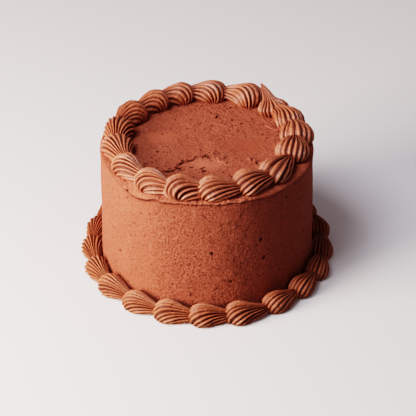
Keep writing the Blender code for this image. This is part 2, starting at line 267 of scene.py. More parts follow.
# Each shell, in the order piped: azimuth of its head in degrees, distance of its middle from the
# axis and half its width in millimetres, degrees that its tail turns inward, rise of its crest in
# millimetres, how far its ridges start from straight below, outward and towards the tail, in
# degrees, how sharp its ridges are, the depth of its grooves, how much its ridges gather at one
# side, and how many there are
Shell = namedtuple("Shell", "azimuth radius half_width turn rise start back sharpness groove gather ridges")
TOP_RING = [
    Shell(61.0, 63.2, 11.0, 0, 9.8, -32, 0, 0.8, 0.44, 0, 16),
    Shell(85.2, 61.8, 10.0, -2, 9.3, -42, 8, 0.8, 0.5, 0, 16),
    Shell(106.5, 61.8, 9.4, 0, 9.3, -48, 10, 0.8, 0.52, 0, 15),
    Shell(126, 61.0, 9.4, 2, 9.3, -50, 16, 0.8, 0.52, 0, 15),
    Shell(146.5, 61.8, 10.8, -2, 9.3, -40, 14, 0.8, 0.56, 0, 15),
    Shell(168, 61.8, 11.4, 0, 9.3, -5, 5, 0.8, 0.56, 0, 16),
    Shell(188.3, 62.2, 11.6, 0, 9.3, 12, 5, 0.8, 0.58, 0.1, 16),
    Shell(211.5, 64.2, 10.6, -2, 9.3, 44, 6, 1.2, 0.7, 0.15, 15),
    Shell(232.8, 65.0, 10.2, -6, 9.3, 50, 14, 1.2, 0.72, 0.15, 15),
    Shell(252.4, 64.0, 11.0, 0, 9.3, 46, 26, 1.2, 0.68, 0.1, 14),
    Shell(272.2, 62.4, 11.3, -6, 9.3, 22, -8, 1.1, 0.64, 0.2, 14),
    Shell(295.0, 61.8, 11.2, -6, 9.3, 10, -6, 1.1, 0.62, 0.1, 14),
    Shell(316.5, 61.5, 11.6, 2, 9.5, 4, 0, 1.2, 0.6, 0, 12),
    Shell(343.5, 60.8, 12.0, 2, 9.3, 5, 0, 1.3, 0.5, 0, 16),
    Shell(363.5, 62.6, 12.3, 2, 9.3, 0, 0, 1.0, 0.48, 0, 16),
    Shell(381.5, 63.0, 10.6, 0, 8.9, 0, 0, 0.9, 0.46, 0, 16),
    Shell(401.8, 62.8, 11.4, -12, 5.8, 0, 0, 0.8, 0.42, 0, 16),
]
BASE_RING = [
    Shell(163.2, 81.3, 9.0, 0, 9.0, 0, 0, 0.9, 0.54, 0, 17),
    Shell(180.4, 81.2, 8.9, 2, 9.0, 0, 0, 0.9, 0.58, 0.05, 17),
    Shell(198.9, 81.7, 9.1, 0, 9.0, 0, 0, 0.9, 0.64, 0.05, 17),
    Shell(215.6, 82.6, 9.3, 3, 8.9, 0, 0, 0.9, 0.64, 0.05, 17),
    Shell(233.6, 83.4, 9.0, 0, 8.7, 10, 0, 0.9, 0.62, 0.05, 17),
    Shell(250.8, 83.4, 10.0, -2, 9.0, 10, 0, 0.9, 0.58, 0, 17),
    Shell(267.3, 83.5, 10.1, 0, 9.0, 5, 0, 0.9, 0.54, 0, 17),
    Shell(284.3, 84.0, 9.9, -3, 9.0, 5, 0, 0.9, 0.54, 0, 17),
    Shell(304.0, 83.5, 8.9, 0, 8.8, 0, 0, 0.9, 0.44, 0, 17),
    Shell(321.7, 82.8, 8.8, 0, 9.2, 0, 0, 0.9, 0.44, 0, 17),
    Shell(338.1, 82.3, 9.2, 2, 9.0, 0, 0, 0.9, 0.42, 0, 17),
    Shell(355.2, 81.5, 8.9, 0, 8.9, 0, 0, 0.9, 0.42, 0, 17),
    Shell(373.5, 82.2, 9.0, -2, 8.6, 0, 0, 0.9, 0.44, 0, 17),
]

# The shells at the back of the foot, which vary between the two ends of each range
BASE_SHELL_COUNT = 21
BASE_SIZE = 0.96
BACK_SHELL = Shell(0, 0, 0, 0, 9.0, 0, 0, 0.9, 0.52, 0, 17)
BACK_RADII = (81.4, 82.6)
BACK_HALF_WIDTHS = (8.8, 9.6)
BACK_TURNS = (-3, 3)

# What a border stands on: its height, and how far it drops outside a radius
Foot = namedtuple("Foot", "height rim drop")
FOOT_REACH = 5 * MM
TOP_FOOT = Foot(CAKE_HEIGHT - 0.5 * MM, TOP_RADIUS - 4 * MM, 3 * MM)
BASE_FOOT = Foot(0, TOP_RADIUS, 0)

ShellForm = namedtuple("ShellForm", "azimuth ring_radius turn length width rise depth tail start back")

# Spread cream: sRGB colours, sizes of its patterns, and ramps, which turn a pattern between two
# values into a share between two others
COAT_DARK, COAT_LIGHT = "8c4936", "b56a54"
# Painted highlight on the grain's raised crumbs and painted shade in its low spots
GRAIN_HIGHLIGHT, GRAIN_SHADE = "c67f68", "6e3525"
# Colour of the shade painted into burst bubbles, pits, marks, the torn crack and under the lip
HOLE_SHADE_COLOUR = "3a150d"
CLOUD_SIZE = 22 * MM
GRAIN_SIZE = 1.5 * MM
GRAIN_ROUGHNESS = 0.75
FINE_SIZE = 0.7 * MM
BUBBLE_SPACING = 2.1 * MM
BUBBLE_RAMP = (0.18, 0.36, 1.0, 0.0)
KEPT_BUBBLES_RAMP = (0.55, 0.95, 0.0, 1.0)
BUBBLE_SHADE = 0.75
CLOUD_SHARE, CLOUD_START = 0.45, 0.27
GRAIN_HIGHLIGHT_RAMP = (0.52, 0.66, 0.0, 0.75)
GRAIN_SHADE_RAMP = (0.47, 0.34, 0.0, 0.75)
COAT_ROUGHNESS, COAT_IOR = 0.7, 1.28

# Piped cream.  Aired cream is rougher and bumpier by these shares, and painted yellower by the first of them,
# as painted warm bounce light.
PIPED_DARK, PIPED_LIGHT = "98583f", "ab6850"
WARM_BOUNCE_COLOUR = "8c4d2c"
# Colour of the shade painted into the grooves between the ridges
GROOVE_SHADE_COLOUR = "4e2216"
PIPED_CLOUD_SIZE = 12 * MM
MOTTLE_SIZE = 1.8 * MM
PIPED_GRAIN_SIZE = 0.8 * MM
GROOVE_SHADE_RAMP = (0.3, 0.85, 0.0, 0.95)
GLOSS_RAMP = (0.3, 0.7, 0.46, 0.32)
WARM_BOUNCE_SHARE, AIRED_ROUGHNESS, AIRED_RELIEF = 0.4, 0.16, 1.2
PIPED_IOR = 1.45

# Bumps in each cream: strength, and height in metres
FINE_BUMP = (0.8, 0.2 * MM)
GRAIN_BUMP = (1.0, 1.9 * MM)
BUBBLE_BUMP = (0.8, 0.3 * MM)
PIPED_FINE_BUMP = (0.7, 0.15 * MM)
MOTTLE_BUMP = (0.7, 0.4 * MM)

# Camera, in metres and degrees, with its lens and sensor in millimetres
CAMERA_DISTANCE = 1.5
CAMERA_ELEVATION = 34.11
CAMERA_TARGET = Vector((0.00085, 0, 0.03642))
CAMERA_LENS = 183.9
SENSOR_WIDTH = 36

# Square lights: azimuth and elevation in degrees, distance and size in metres, watts and colour
Light = namedtuple("Light", "name azimuth elevation distance size power colour")
LIGHTS = [
    Light("key", -154, 17, 0.9, 0.5, 17.6, (1, 0.87, 0.79)),
    Light("upper_key", -146, 60, 1.0, 0.45, 6.7, (0.93, 1, 1.1)),
    Light("fill", -60, 35, 2.0, 1.5, 1.8, (1, 0.95, 1)),
]
LIGHTS_TARGET = Vector((0, 0, 0.05))
WORLD_COLOUR = (1, 0.92, 1, 1)
WORLD_STRENGTH = 0.19

FLOOR_SIZE = 12
FLOOR_DROP = 0.1 * MM
FLOOR_COLOUR = "e6dedb"
FLOOR_ROUGHNESS = 0.9


def uneven(points, size, seed):
    """Smooth random values from about -1 to 1, with lumps of one size, at points in metres."""
    places = points / size + SEED_STEP * seed
    if places.shape[1] == 2:
        places = np.column_stack([places, np.full(len(places), 0.5 + seed)])
    return np.array([noise.noise(place) for place in places.tolist()])


def lumpy(points, *layers):
    """Height in millimetres of one or more layers of lumps, at points in metres."""
    return sum(layer.height * uneven(points, layer.length * MM, layer.seed) for layer in layers)


def smooth_step(value):
    value = np.clip(value, 0, 1)
    return value * value * (3 - 2 * value)


def between(value, first, fade_in, last, fade_out):
    """1 from one value to another, with a soft start and end inside them, and 0 outside."""
    return smooth_step((value - first) / fade_in) * smooth_step((last - value) / fade_out)


def hump(value, middle, reach):
    """1 at a middle value, falling softly to 0 at its sides."""
    return np.exp(-((value - middle) / reach) ** 2)


def in_oval(x, y, oval):
    """1 inside an oval, falling softly to 0 outside it."""
    along = (x - oval.x * MM) / (oval.half_length * MM)
    across = (y - oval.y * MM) / (oval.half_width * MM)
    return np.exp(-(along ** 2 + across ** 2) ** 2)


def read_points(mesh):
    points = np.empty(len(mesh.vertices) * 3)
    mesh.vertices.foreach_get("co", points)
    return points.reshape(-1, 3)


def write_points(mesh, points):
    mesh.vertices.foreach_set("co", np.ascontiguousarray(points).ravel())
    mesh.update()


def keep_values(mesh, name, values):
    """Keep one value a point, for the material to read."""
    layer = mesh.attributes.new(name, "FLOAT", "POINT")
    layer.data.foreach_set("value", np.ascontiguousarray(values, dtype=np.float32).ravel())


def new_mesh(name, bm):
    mesh = bpy.data.meshes.new(name)
    bm.to_mesh(mesh)
    bm.free()
    return mesh


def close_mesh(mesh, seam_width=0):
    """Merge the seam, if there is one, and turn every face outward."""
    bm = bmesh.new()
    bm.from_mesh(mesh)
    if seam_width:
        bmesh.ops.remove_doubles(bm, verts=bm.verts, dist=seam_width)
    bmesh.ops.recalc_face_normals(bm, faces=bm.faces)
    bm.to_mesh(mesh)
    bm.free()
    mesh.shade_smooth()


def add_piece(name, mesh, material, node):
    piece = bpy.data.objects.new(name, mesh)
    bpy.context.collection.objects.link(piece)
    mesh.materials.append(material)
    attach(piece, "root")
    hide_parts(node)
    return piece


def cylinder_points(azimuth, radius, height):
    return np.stack([radius * np.cos(azimuth), radius * np.sin(azimuth), height], axis=-1)


def rim_points(azimuth):
    return np.column_stack([np.cos(azimuth), np.sin(azimuth)]) * TOP_RADIUS


def side_radius(height):
    return BASE_RADIUS + (TOP_RADIUS - BASE_RADIUS) * height / CAKE_HEIGHT


def dimple(across, up, width, depth):
    """Depth of a round pit at distances from its middle."""
    return depth * np.exp(-PIT_STEEPNESS * ((across ** 2 + up ** 2) / (0.5 * width) ** 2) ** 2)


def lip_at(azimuth):
    """Height of the lip's lower edge and how far it stands out, at azimuths in radians."""
    places = np.radians([edge.azimuth for edge in LIP])
    height = np.interp(azimuth, places, [edge.height * MM for edge in LIP])
    out = np.interp(azimuth, places, [edge.out * MM for edge in LIP])
    height += MM * lumpy(rim_points(azimuth), LIP_RAGGEDNESS)
    out += MM * lumpy(rim_points(azimuth), LIP_THICKNESS)
    height[-1], out[-1] = height[0], out[0]
    return height, np.maximum(out, LEAST_LIP)


def side_grain(azimuth):
    """How grainy the side is, from 0 to 1, at azimuths in radians: smooth at the left of the front."""
    degrees = np.degrees(azimuth)
    patches = smooth_step(0.5 + lumpy(rim_points(azimuth), BACK_PATCHES))
    back = between(degrees, *BACK_GRAIN) * patches
    return np.maximum(LEAST_GRAIN, np.maximum(between(degrees, *FRONT_GRAIN), back))


def side_relief(azimuth, height, grain):
    """How far the coat's side stands out from a plain cone, at rows of points."""
    relief = np.zeros_like(azimuth)
    for size, turns, climb, start in SIDE_WAVES:
        relief += size * np.sin(turns * azimuth + math.tau * climb * height / CAKE_HEIGHT + start)
    points = cylinder_points(azimuth, TOP_RADIUS, height).reshape(-1, 3)
    relief += MM * grain * lumpy(points, *SIDE_LUMPS).reshape(azimuth.shape)
    tilt = STREAK_TILT * np.sin(azimuth.reshape(-1, 1)) * [0, 0, 1]
    relief += MM * lumpy(points * [1, 1, STREAK_STRETCH] + tilt, STREAKS).reshape(azimuth.shape)
    crumbly = smooth_step((height - CRUMBLY_HEIGHT) / CRUMBLY_FADE) * hump(np.degrees(azimuth), *CRUMBLY_FRONT)
    crumbs = np.maximum(lumpy(points, RIM_CRUMBS), LOWEST_CRUMB)
    return relief + MM * crumbly * crumbs.reshape(azimuth.shape)


def pit_side(azimuth, height, relief):
    """Press the pits into the side's relief, and tell how much shade each paints into its points."""
    rng = np.random.default_rng(12)
    pits = list(SIDE_PITS)
    for _ in range(SMALL_PIT_COUNT):
        pits.append(Pit(rng.uniform(-180, 180), rng.uniform(*SMALL_PIT_HEIGHTS),
                        rng.uniform(*SMALL_PIT_WIDTHS), rng.uniform(*SMALL_PIT_DEPTHS)))
    columns = azimuth[0]
    painted_shade = np.zeros_like(relief)
    for pit in pits:
        away = (columns - math.radians(pit.azimuth) + math.pi) % math.tau - math.pi
        middle = np.argmin(np.abs(away))
        away = away - away[middle]
        near = np.flatnonzero(np.abs(away) * TOP_RADIUS < PIT_REACH * pit.width * MM)
        across = away[near] * TOP_RADIUS
        row = np.argmin(np.abs(height[:, middle] - pit.height * MM))
        up = height[:, near] - height[row, middle]
        hole = dimple(across[None, :], up, pit.width * MM, pit.depth * MM)
        relief[:, near] -= hole
        painted_shade[:, near] += hole / FULL_SHADE_DEPTH
    relief[:, -1] = relief[:, 0]
    return relief, np.minimum(painted_shade, 1)


def shade_lip(painted_shade, height, edge_height, out):
    """Paint the lip's shadow onto the coat under it."""
    shadow = np.clip((out - THIN_LIP) / DEEP_LIP, *LIP_SHADOWS)
    below = edge_height - height[:UNDER_LIP + 1]
    line = smooth_step((SHADOW_SHARE * out + SHADOW_HEIGHT - below) / SHADOW_FADE)
    painted_shade[:UNDER_LIP + 1] = np.maximum(painted_shade[:UNDER_LIP + 1], shadow * line)
    painted_shade[UNDER_LIP + 1] = shadow


def rim_bumps(around, radius, height):
    """How high the rim's lumps stand, at rows of points."""
    on_rim = smooth_step((radius - INNER_RADIUS) / RIM_FADE) * (height > CAKE_HEIGHT - RIM_DEPTH)
    worked = 1 + WORKED_SHARE * between(np.degrees(around), *WORKED_RIM)
    points = cylinder_points(around, radius, height).reshape(-1, 3)
    return MM * on_rim * worked * lumpy(points, *RIM_LUMPS).reshape(radius.shape)


def side_tone(around, height):
    """How much lighter than the rest the side's cream is, at rows of points."""
    return sum(patch.share * hump(np.degrees(around), patch.azimuth, patch.reach)
               * smooth_step((height - patch.height * MM) / LIGHT_FADE) for patch in LIGHT_PATCHES)


def coat_rows(azimuth, edge_height, out):
    """Radius and height of the coat's rows, from the middle of its foot up and in to the sunk floor."""
    rows = [(0, 0), (BASE_RADIUS - FOOT_ROUNDING, 0)]
    for step in range(SIDE_ROWS + 1):
        height = FOOT_ROUNDING + (edge_height - FOOT_ROUNDING) * step / SIDE_ROWS
        rows.append((side_radius(height), height))
    rows.append((side_radius(edge_height) - LIP_UNDERCUT * out, edge_height + LIP_STEP))
    rows.append((side_radius(edge_height) + LIP_OVERHANG * out, edge_height - LIP_DROOP * LIP_STEP))
    roundness = RIM_ROUNDNESS + LIP_ROUNDNESS * out / MM
    for step in range(RIM_ROWS + 1):
        angle = 0.5 * math.pi * step / RIM_ROWS
        run = (RIM_WIDTH + out) * (1 - math.cos(angle) ** roundness)
        climb = (CAKE_HEIGHT - edge_height - LIP_STEP) * math.sin(angle) ** roundness
        rows.append((TOP_RADIUS + out - run, edge_height + LIP_STEP + climb))
    outer_edge = TOP_RADIUS - RIM_WIDTH
    inner_edge = INNER_RADIUS - TOP_OVERLAP
    for step in range(1, LEDGE_ROWS + 1):
        rows.append((outer_edge + (inner_edge - outer_edge) * step / LEDGE_ROWS, CAKE_HEIGHT))
    rows += [(inner_edge, CAKE_HEIGHT - TOP_SINK), (0, CAKE_HEIGHT - TOP_SINK)]
    radius = np.array([np.broadcast_to(row[0], azimuth.shape) for row in rows])
    height = np.array([np.broadcast_to(row[1], azimuth.shape) for row in rows])
    return radius, height


def spread_coat_side(material):
    """The side, rim and outer top of the coat, closed by the sunk floor that the middle stands on."""
    azimuth = -math.pi + math.tau * np.arange(SIDE_COLUMNS + 1) / SIDE_COLUMNS
    edge_height, out = lip_at(azimuth)
    radius, height = coat_rows(azimuth, edge_height, out)
    around = np.broadcast_to(azimuth, radius.shape)
    grain = np.broadcast_to(side_grain(azimuth), radius.shape)
    relief, painted_shade = pit_side(around, height, side_relief(around, height, grain))
    shade_lip(painted_shade, height, edge_height, out)
    on_side = smooth_step((radius - (TOP_RADIUS - RIM_WIDTH)) / SIDE_FADE)
    radius = radius + relief * smooth_step(height / PLAIN_FOOT) * on_side
    points = cylinder_points(around, radius, height + rim_bumps(around, radius, height))

    bm = bmesh.new()
    bmesh.ops.create_grid(bm, x_segments=SIDE_COLUMNS, y_segments=len(radius) - 1, size=1)
    mesh = new_mesh("coat_side", bm)
    unit = read_points(mesh)
    column = np.round((unit[:, 0] + 1) * 0.5 * SIDE_COLUMNS).astype(int)
    row = np.round((unit[:, 1] + 1) * 0.5 * (len(radius) - 1)).astype(int)
    write_points(mesh, points[row, column])
    for name, values in (("painted_shade", painted_shade), ("grain", grain), ("tone", side_tone(around, height))):
        keep_values(mesh, name, values[row, column])
    close_mesh(mesh, SEAM_WIDTH)
    return add_piece("coat_side", mesh, material, "cake_body")


def edge_distance(points):
    """Distance of points from the torn edge: above 0 in front of it and below 0 behind it."""
    edge = np.array(TORN_EDGE) * MM
    away = np.full(len(points), 1.0)
    for first, last in zip(edge[:-1], edge[1:]):
        run = last - first
        share = np.clip((points - first) @ run / (run @ run), 0, 1)
        away = np.minimum(away, np.linalg.norm(points - first - share[:, None] * run, axis=1))
    in_front = points[:, 1] < np.interp(points[:, 0], edge[:, 0], edge[:, 1])
    return np.where(in_front, away, -away)


def mark_top(x, y, relief, painted_shade):
    """Press the marks into the top's relief, paint shade into the pressed ones, and raise its crumbs."""
    for mark in TOP_MARKS:
        turn = math.radians(mark.turn)
        dx, dy = x - mark.x * MM, y - mark.y * MM
        near = np.hypot(dx, dy) < MARK_REACH * mark.length * MM
        dx, dy = dx[near], dy[near]
        along = (dx * math.cos(turn) + dy * math.sin(turn)) / mark.length * mark.width
        across = dy * math.cos(turn) - dx * math.sin(turn)
        hole = dimple(along, across, mark.width * MM, mark.depth * MM)
        relief[near] -= hole
        painted_shade[near] += np.maximum(hole, 0) / FULL_SHADE_DEPTH


def pit_top(x, y, rough, relief, painted_shade):
    """Press small pits into the top's relief, each round a point of its net, and paint shade into them."""
    rng = np.random.default_rng(44)
    for _ in range(TOP_PIT_COUNT):
        reach = TOP_PIT_REACH * math.sqrt(rng.uniform(0, 1))
        angle = rng.uniform(0, math.tau)
        width = rng.uniform(*TOP_PIT_WIDTHS) * MM
        depth = rng.uniform(*TOP_PIT_DEPTHS) * MM
        dx, dy = x - reach * math.cos(angle), y - reach * math.sin(angle)
        near = np.flatnonzero(np.hypot(dx, dy) < PIT_REACH * width)
        middle = near[np.argmin(np.hypot(dx[near], dy[near]))]
        hole = rough[near] * dimple(x[near] - x[middle], y[near] - y[middle], width, depth)
        relief[near] -= hole
        painted_shade[near] += hole / FULL_SHADE_DEPTH


def tear_top(points):
    """Height of the torn edge over the top round it, and how much shade is painted into its crack."""
    x = points[:, 0]
    wandering = points
    for size, length, seed_x, seed_y in TORN_WANDER:
        away = [uneven(points, length * MM, seed) for seed in (seed_x, seed_y)]
        wandering = wandering + np.column_stack(away) * size * MM
    front = edge_distance(wandering)
    reach = between(x, TORN_EDGE[0][0] * MM, TORN_START_FADE, TORN_EDGE[-1][0] * MM, TORN_END_FADE)
    patch = smooth_step(front / TORN_STEP + 0.5) * np.exp(-np.maximum(front, 0) / TORN_RISE)
    width = CRACK_WIDTH + CRACK_WIDENING * smooth_step((CRACK_WIDE_FROM - x) / CRACK_WIDE_FADE)
    crack = hump(front, CRACK_SHIFT, width) * smooth_step((CRACK_END - x) / CRACK_END_FADE)
    crack *= np.clip(CRACK_MIDDLE + lumpy(points, CRACK_BREAKS), *CRACK_RANGE)
    shreds = hump(front, -SHREDS_BEHIND, SHREDS_WIDTH) * np.maximum(lumpy(points, SHREDS), LOWEST_SHRED)
    return reach * (MM * shreds - TORN_DROP * patch) - TORN_CRACK * crack, crack


def top_relief(points):
    """Height of the top's marks over a plain flat top, how much shade is painted into its holes
    and crack, how grainy it is and how light or dark its cream."""
    x, y = points[:, 0], points[:, 1]
    right, left, front = (in_oval(x, y, oval) for oval in (SMOOTH_RIGHT, SMOOTH_LEFT, SMOOTH_FRONT))
    rough = 1 - SMOOTHNESS * np.maximum(np.maximum(right, left), FRONT_SMOOTHNESS * front)
    relief = MM * lumpy(points, TOP_SWELL) + rough * MM * lumpy(points, *TOP_LUMPS)
    painted_shade = np.zeros_like(x)
    mark_top(x, y, relief, painted_shade)
    pit_top(x, y, rough, relief, painted_shade)
    torn, crack = tear_top(points)
    tone = FRONT_LIGHT * front - RIGHT_DARK * right
    return relief + torn, np.clip(painted_shade + crack, 0, 1), TOP_GRAIN * rough, tone


def spread_coat_top(material):
    """The middle of the top: a square net drawn out to a disc, with its edge turned down."""
    bm = bmesh.new()
    bmesh.ops.create_grid(bm, x_segments=TOP_GRID, y_segments=TOP_GRID, size=1)
    border = [edge for edge in bm.edges if edge.is_boundary]
    skirt = bmesh.ops.extrude_edge_only(bm, edges=border)["geom"]
    lower = [part for part in skirt if isinstance(part, bmesh.types.BMVert)]
    bmesh.ops.translate(bm, verts=lower, vec=(0, 0, -1))
    bmesh.ops.contextual_create(bm, geom=lower)
    mesh = new_mesh("coat_top", bm)
    unit = read_points(mesh)
    x, y = unit[:, 0], unit[:, 1]
    flat = np.column_stack([x * np.sqrt(1 - 0.5 * y * y), y * np.sqrt(1 - 0.5 * x * x)]) * INNER_RADIUS
    in_from_edge = smooth_step((INNER_RADIUS - np.hypot(flat[:, 0], flat[:, 1])) / TOP_EDGE_FADE)
    relief, painted_shade, grain, tone = top_relief(flat)
    height = CAKE_HEIGHT + TOP_LIFT + in_from_edge * relief
    height = np.where(unit[:, 2] < -0.5, CAKE_HEIGHT - TOP_SKIRT, height)
    write_points(mesh, np.column_stack([flat, height]))
    for name, values in (("painted_shade", in_from_edge * painted_shade), ("grain", grain), ("tone", tone)):
        keep_values(mesh, name, values)
    close_mesh(mesh, SEAM_WIDTH)
    return add_piece("coat_top", mesh, material, "cake_body")


def tail_direction(form):
    dip = math.radians(form.tail[2])
    return np.array([math.cos(dip), 0, -math.sin(dip)])


def start_direction(form):
    """Where the ridges start on a unit head: straight below, or out on its outer flank."""
    lean = math.radians(form.start)
    back = math.radians(form.back)
    direction = np.array([math.sin(back), -math.sin(lean), -math.cos(lean)])
    return direction / np.linalg.norm(direction)


def sphere_arcs(longitude, share, tail, start):
    """Points on the unit sphere along the arcs that run from the ridges' start to the tail.

    A plane through both ends cuts the sphere in each arc.  Longitude 0 runs up the front
    of the head and back along the crest; a share of 0 is the start and 1 the tail.
    """
    half_chord = 0.5 * np.linalg.norm(tail - start)
    along = (tail - start) / (2 * half_chord)
    middle = 0.5 * (tail + start)
    over_head = -middle / np.linalg.norm(middle)
    sideways = np.cross(over_head, along)
    toward = np.outer(np.cos(longitude), over_head) + np.outer(np.sin(longitude), sideways)
    normal = np.cross(along, toward)
    offset = toward @ middle
    radius = np.hypot(half_chord, offset)
    angle = np.arctan2(half_chord, offset) * (2 * share - 1)
    across = toward * np.cos(angle)[:, None] + along * np.sin(angle)[:, None]
    return normal * (normal @ middle)[:, None] + radius[:, None] * across


def stretch(directions, form):
    """Distance of the smooth surface from the head's middle, drawn out towards the tail."""
    reach, spread, _ = form.tail
    from_tail = np.arccos(np.clip(directions @ tail_direction(form), -1, 1))
    from_tail = np.hypot(from_tail, math.radians(TAIL_BLUNTNESS))
    return 1 + (reach - 1) * np.exp(-from_tail / math.radians(spread))


def onto_cake(points, form, level):
    """Place points round a unit head on the cake: along its ring, in from it and up."""
    x = points[:, 0] * form.length
    y = points[:, 1] * form.width
    turn = math.radians(form.turn)
    forward = x * math.cos(turn) - y * math.sin(turn)
    inward = x * math.sin(turn) + y * math.cos(turn)
    azimuth = math.radians(form.azimuth) + forward / form.ring_radius
    height = level + points[:, 2] * np.where(points[:, 2] > 0, form.rise, form.depth)
    return cylinder_points(azimuth, form.ring_radius - inward, height)


def lay_ridges(form, shell, rng):
    """Longitudes of a net's columns, and how far each lies below the smooth surface, from 0 to about 1.

    The ridges are spaced by their widths half way along, and differ a little in width and height.
    """
    ridges = shell.ridges
    phase = np.arange(ridges * COLUMNS_PER_RIDGE) / COLUMNS_PER_RIDGE
    girth = math.tau * phase / ridges - math.pi
    for waves in GIRTH_WAVES:
        girth = girth + GIRTH_WAVE_SIZE / waves * np.sin(waves * girth + rng.uniform(0, math.tau))
    girth = girth - shell.gather * np.sin(girth - math.radians(GATHER_SIDE))
    off_middle = 0.5 * np.linalg.norm(tail_direction(form) + start_direction(form))
    longitude = np.arctan2(np.sin(girth), off_middle + np.cos(girth))
    crest = np.abs(np.cos(math.pi * phase)) ** (GROOVE_WIDTH * shell.sharpness)
    depths = rng.uniform(*RIDGE_DEPTHS, ridges)[phase.astype(int)]
    drops = rng.uniform(*RIDGE_DROPS, ridges)[np.round(phase).astype(int) % ridges]
    return longitude, (1 - crest) * depths + crest * drops


def smooth_shell(form, longitude, level):
    """Rows of points over a shell without ridges, from where they start to its tail."""
    net = []
    for share in np.clip(np.linspace(0, 1, SHELL_ROWS + 1), END_SHARE, 1 - END_SHARE):
        directions = sphere_arcs(longitude, share, tail_direction(form), start_direction(form))
        net.append(onto_cake(directions * stretch(directions, form)[:, None], form, level))
    return np.array(net)


def press_ridges(net, shape, groove):
    """Sink the grooves into a smooth shell's net and give it lumps."""
    along = np.gradient(net, axis=0)
    across = (np.roll(net, -1, axis=1) - np.roll(net, 1, axis=1)) / 2
    normal = np.cross(along, across)
    normal /= np.linalg.norm(normal, axis=2)[:, :, None] + 1e-12
    ridge_width = np.linalg.norm(across, axis=2) * COLUMNS_PER_RIDGE
    reach = np.minimum(NARROW_SHARE * ridge_width, np.sqrt(PLAIN_RIDGE * ridge_width))
    depth = GROOVE_DEPTH * groove * np.minimum(reach, DEEPEST_RIDGE) * shape
    lumps = lumpy(net.reshape(-1, 3), *SHELL_LUMPS).reshape(depth.shape)
    depth = depth - MM * lumps * np.minimum(1, ridge_width / LUMPY_WIDTH)
    return net - normal * depth[:, :, None]


def pipe_shell(name, shell, size, tail, level, foot, rng, material):
    form = ShellForm(
        azimuth=shell.azimuth, ring_radius=shell.radius * MM, turn=shell.turn, length=HEAD_LENGTH * size,
        width=shell.half_width * MM, rise=shell.rise * MM, depth=HEAD_DEPTH * size, tail=tail,
        start=shell.start, back=shell.back)
    longitude, shape = lay_ridges(form, shell, rng)
    shape = np.broadcast_to(shape, (SHELL_ROWS + 1, len(shape)))
    net = press_ridges(smooth_shell(form, longitude, level), shape, shell.groove)
    over_rim = smooth_step((np.hypot(net[:, :, 0], net[:, :, 1]) - foot.rim) / FOOT_REACH)
    net[:, :, 2] = np.maximum(net[:, :, 2], foot.height - foot.drop * over_rim)

    columns = shell.ridges * COLUMNS_PER_RIDGE
    bm = bmesh.new()
    bmesh.ops.create_uvsphere(bm, u_segments=columns, v_segments=SHELL_ROWS, radius=1)
    mesh = new_mesh(name, bm)
    unit = read_points(mesh)
    row = np.round((1 - np.arccos(np.clip(unit[:, 2], -1, 1)) / math.pi) * SHELL_ROWS).astype(int)
    column = np.round(np.arctan2(unit[:, 1], unit[:, 0]) / math.tau * columns).astype(int)
    column = (column + columns // 2) % columns
    points = net[row, column]
    for pole in (0, SHELL_ROWS):
        points[row == pole] = net[pole].mean(axis=0)
    write_points(mesh, points)
    # The groove share is kept for the shade painted into the grooves
    keep_values(mesh, "groove", shape[row, column])
    close_mesh(mesh)
    return add_piece(f"piped_{name}", mesh, material, name)


def pipe_top_border(material):
    rng = np.random.default_rng(17)
    level = CAKE_HEIGHT + WIDEST_LEVEL
    for number, shell in enumerate(TOP_RING, 1):
        tail = PEAK if number == len(TOP_RING) else TAIL
        pipe_shell(f"top_shell_{number:02d}", shell, 1, tail, level, TOP_FOOT, rng, material)


def pipe_base_border(material):
    """The border at the foot, of aired cream, with its back shells spaced evenly over the gap."""
    rng = np.random.default_rng(21)
    ring = list(BASE_RING)
    missing = BASE_SHELL_COUNT - len(ring)
    step = (ring[0].azimuth + 360 - ring[-1].azimuth) / (missing + 1)
    for number in range(missing):
        ring.append(BACK_SHELL._replace(
            azimuth=BASE_RING[-1].azimuth + step * (number + 1), radius=rng.uniform(*BACK_RADII),
            half_width=rng.uniform(*BACK_HALF_WIDTHS), turn=rng.uniform(*BACK_TURNS)))
    level = WIDEST_LEVEL * BASE_SIZE
    for number, shell in enumerate(ring, 1):
        name = f"base_shell_{number:02d}"
        piece = pipe_shell(name, shell, BASE_SIZE, TAIL, level, BASE_FOOT, rng, material)
        keep_values(piece.data, "aired", np.ones(len(piece.data.vertices)))


def linear(colour):
    """Turn an sRGB hex colour into linear red, green, blue and alpha."""
    channels = [int(colour[place:place + 2], 16) / 255 for place in (0, 2, 4)]
    return [c / 12.92 if c <= 0.04045 else ((c + 0.055) / 1.055) ** 2.4 for c in channels] + [1]


def add_node(material, kind, settings=None, **links):
    """Add a node, set its properties, and give each named input a value or another node's output."""
    tree = material.node_tree
    node = tree.nodes.new(kind)
    for key, value in (settings or {}).items():
        setattr(node, key, value)
    for key, value in links.items():
        numbered = key[0] == "i" and key[1:].isdigit()
        socket = node.inputs[int(key[1:]) if numbered else key.replace("_", " ")]
        if isinstance(value, bpy.types.NodeSocket):
            tree.links.new(value, socket)
        else:
            socket.default_value = value
    return node


def point_values(material, *names):
    """Outputs that give the values kept with the points."""
    kind = "ShaderNodeAttribute"
    return [add_node(material, kind, {"attribute_name": name}).outputs["Fac"] for name in names]


def noise_map(material, place, size, detail, roughness=0.5):
    return add_node(material, "ShaderNodeTexNoise", Vector=place, Scale=1 / size, Detail=detail,
                    Roughness=roughness).outputs["Fac"]


def combine(material, operation, *values):
    inputs = {f"i{number}": value for number, value in enumerate(values)}
    return add_node(material, "ShaderNodeMath", {"operation": operation}, **inputs).outputs[0]


def ramp(material, value, first, last, start, end):
    return add_node(material, "ShaderNodeMapRange", Value=value, i1=first, i2=last, i3=start,
                    i4=end).outputs["Result"]


